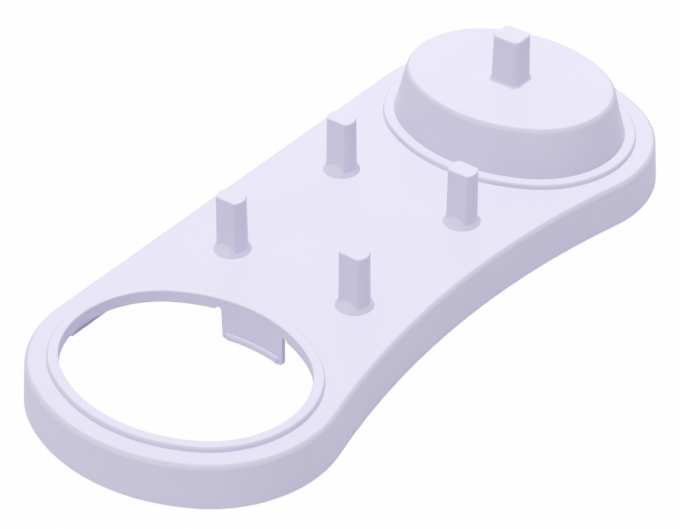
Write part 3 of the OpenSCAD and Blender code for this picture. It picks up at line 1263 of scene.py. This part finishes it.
@dataclass
class Studio:
    """Pale floor, soft lights and the camera at the photograph's angle."""

    look_at: Place = (-10.578, -3.456, 11.5)
    distance: float = 680.648
    azimuth: float = -52.356
    elevation: float = 36.047
    focal_px: float = 2974.13
    image_width: int = 680
    sensor_mm: float = 36.0
    # Nearest and furthest distance that the camera sees, in metres
    clipping: Pair = (0.01, 20.0)
    floor_half_side: float = 3000.0
    floor_gap: float = 0.05
    paper_colour: str = "#E6E6E8"
    paper_roughness: float = 0.9
    paper_specular: float = 0.1
    light_colour: str = "#E5D3FF"
    mirrored_colour: str = "#B28EFF"
    # Strength of the surroundings, and what it gains where the skin's gloss or the camera sees it
    surroundings: float = 1.0
    mirrored_white: float = 9.0
    seen_white: float = 14.0
    # Two soft boxes, and a panel behind that only shines on the tops
    soft_lights: tuple[SoftLight, ...] = (
        SoftLight("overhead_soft_box", (-0.03, 0.07, 1.6), 1.1, 40.0),
        SoftLight("left_soft_box", (-1.05, 0.18, 0.75), 0.6, 12.5),
        SoftLight("back_panel", (0.96, 0.735, 0.885), 1.3, 570.0, mirrored_only=True),
    )

    def floor(self) -> None:
        """Adds the floor, paper that only the camera sees as white as the photograph's."""
        mesh = bmesh.new()
        bmesh.ops.create_grid(mesh, x_segments=2, y_segments=2, size=self.floor_half_side)
        bmesh.ops.translate(mesh, vec=(0, 0, -self.floor_gap), verts=mesh.verts[:])
        floor = as_object(mesh, "studio_floor")
        material, tree, shader = blank_material("matt_white_paper")
        shader.inputs["Base Color"].default_value = linear_colour(self.paper_colour)
        shader.inputs["Roughness"].default_value = self.paper_roughness
        shader.inputs["Specular IOR Level"].default_value = self.paper_specular
        shader.inputs["Emission Color"].default_value = linear_colour(WHITE)
        rays = add_node(tree, "ShaderNodeLightPath")
        seen = add_node(
            tree,
            "ShaderNodeMath",
            settings={"operation": "MULTIPLY"},
            values={1: self.seen_white},
            links={0: rays.outputs["Is Camera Ray"]},
        )
        tree.links.new(seen.outputs["Value"], shader.inputs["Emission Strength"])
        floor.data.materials.append(material)

    def area_light(self, soft_light: SoftLight) -> None:
        """Adds one soft light aimed at the object.

        Args:
            soft_light: what it is and where it stands.
        """
        mirrored = soft_light.mirrored_only
        data = bpy.data.lights.new(soft_light.name, "AREA")
        data.shape = "SQUARE"
        data.size = soft_light.size
        data.energy = soft_light.power
        data.color = linear_colour(self.mirrored_colour if mirrored else self.light_colour)[:3]
        data.use_shadow = not mirrored
        data.cycles.use_multiple_importance_sampling = not mirrored
        light = bpy.data.objects.new(soft_light.name, data)
        light.location = soft_light.place
        light.visible_diffuse = not mirrored
        aim = Vector(self.look_at) * MM - Vector(soft_light.place)
        light.rotation_mode = "QUATERNION"
        light.rotation_quaternion = aim.to_track_quat("-Z", "Y")
        bpy.context.scene.collection.objects.link(light)

    def world(self) -> None:
        """Sets the even surroundings, tinted for the object and white for the camera."""
        world = bpy.data.worlds.new("even_surroundings")
        world.use_nodes = True
        tree = world.node_tree
        background = tree.nodes["Background"]
        rays = add_node(tree, "ShaderNodeLightPath")
        tint = add_node(
            tree,
            "ShaderNodeMix",
            settings={"data_type": "RGBA"},
            values={MIX_FIRST: linear_colour(self.light_colour), MIX_SECOND: linear_colour(WHITE)},
            links={"Factor": rays.outputs["Is Camera Ray"]},
        )
        mirrored = add_node(
            tree,
            "ShaderNodeMath",
            settings={"operation": "MULTIPLY_ADD"},
            values={1: self.mirrored_white, 2: self.surroundings},
            links={0: rays.outputs["Is Glossy Ray"]},
        )
        seen = add_node(
            tree,
            "ShaderNodeMath",
            settings={"operation": "MULTIPLY_ADD"},
            values={1: self.seen_white},
            links={0: rays.outputs["Is Camera Ray"], 2: mirrored.outputs["Value"]},
        )
        tree.links.new(tint.outputs[MIX_RESULT], background.inputs["Color"])
        tree.links.new(seen.outputs["Value"], background.inputs["Strength"])
        bpy.context.scene.world = world

    def lights(self) -> None:
        """Adds the soft lights and the surroundings."""
        for soft_light in self.soft_lights:
            self.area_light(soft_light)
        self.world()

    def camera(self) -> None:
        """Adds the camera with the photograph's view."""
        azimuth, elevation = math.radians(self.azimuth), math.radians(self.elevation)
        back = Vector(
            (
                math.sin(azimuth) * math.cos(elevation),
                -math.cos(azimuth) * math.cos(elevation),
                math.sin(elevation),
            )
        )
        data = bpy.data.cameras.new("photograph_camera")
        data.sensor_fit = "HORIZONTAL"
        data.sensor_width = self.sensor_mm
        data.lens = self.focal_px / self.image_width * self.sensor_mm
        data.clip_start, data.clip_end = self.clipping
        data.dof.use_dof = False
        camera = bpy.data.objects.new("photograph_camera", data)
        camera.location = (Vector(self.look_at) + self.distance * back) * MM
        camera.rotation_mode = "QUATERNION"
        camera.rotation_quaternion = (-back).to_track_quat("-Z", "Y")
        bpy.context.scene.collection.objects.link(camera)
        bpy.context.scene.camera = camera


def main() -> None:
    """Builds the holder piece by piece and sets the studio."""
    logging.basicConfig(level=logging.INFO, format="%(message)s")
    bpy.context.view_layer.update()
    oval = Oval()
    layout = Layout()
    abs_skin = MouldedAbs().material()
    rubber = MouldedElastomer().material()
    studio = Studio()
    studio.camera()
    TrayShell(oval, layout, abs_skin).build()
    Underside(layout, abs_skin).build()
    HandlePlinth(oval, layout, abs_skin).build()
    BrushPegs(layout, abs_skin).build()
    SnapClips(oval, layout, abs_skin).build()
    RubberFeet(layout, rubber).build()
    studio.floor()
    studio.lights()


if __name__ == "__main__":
    main()
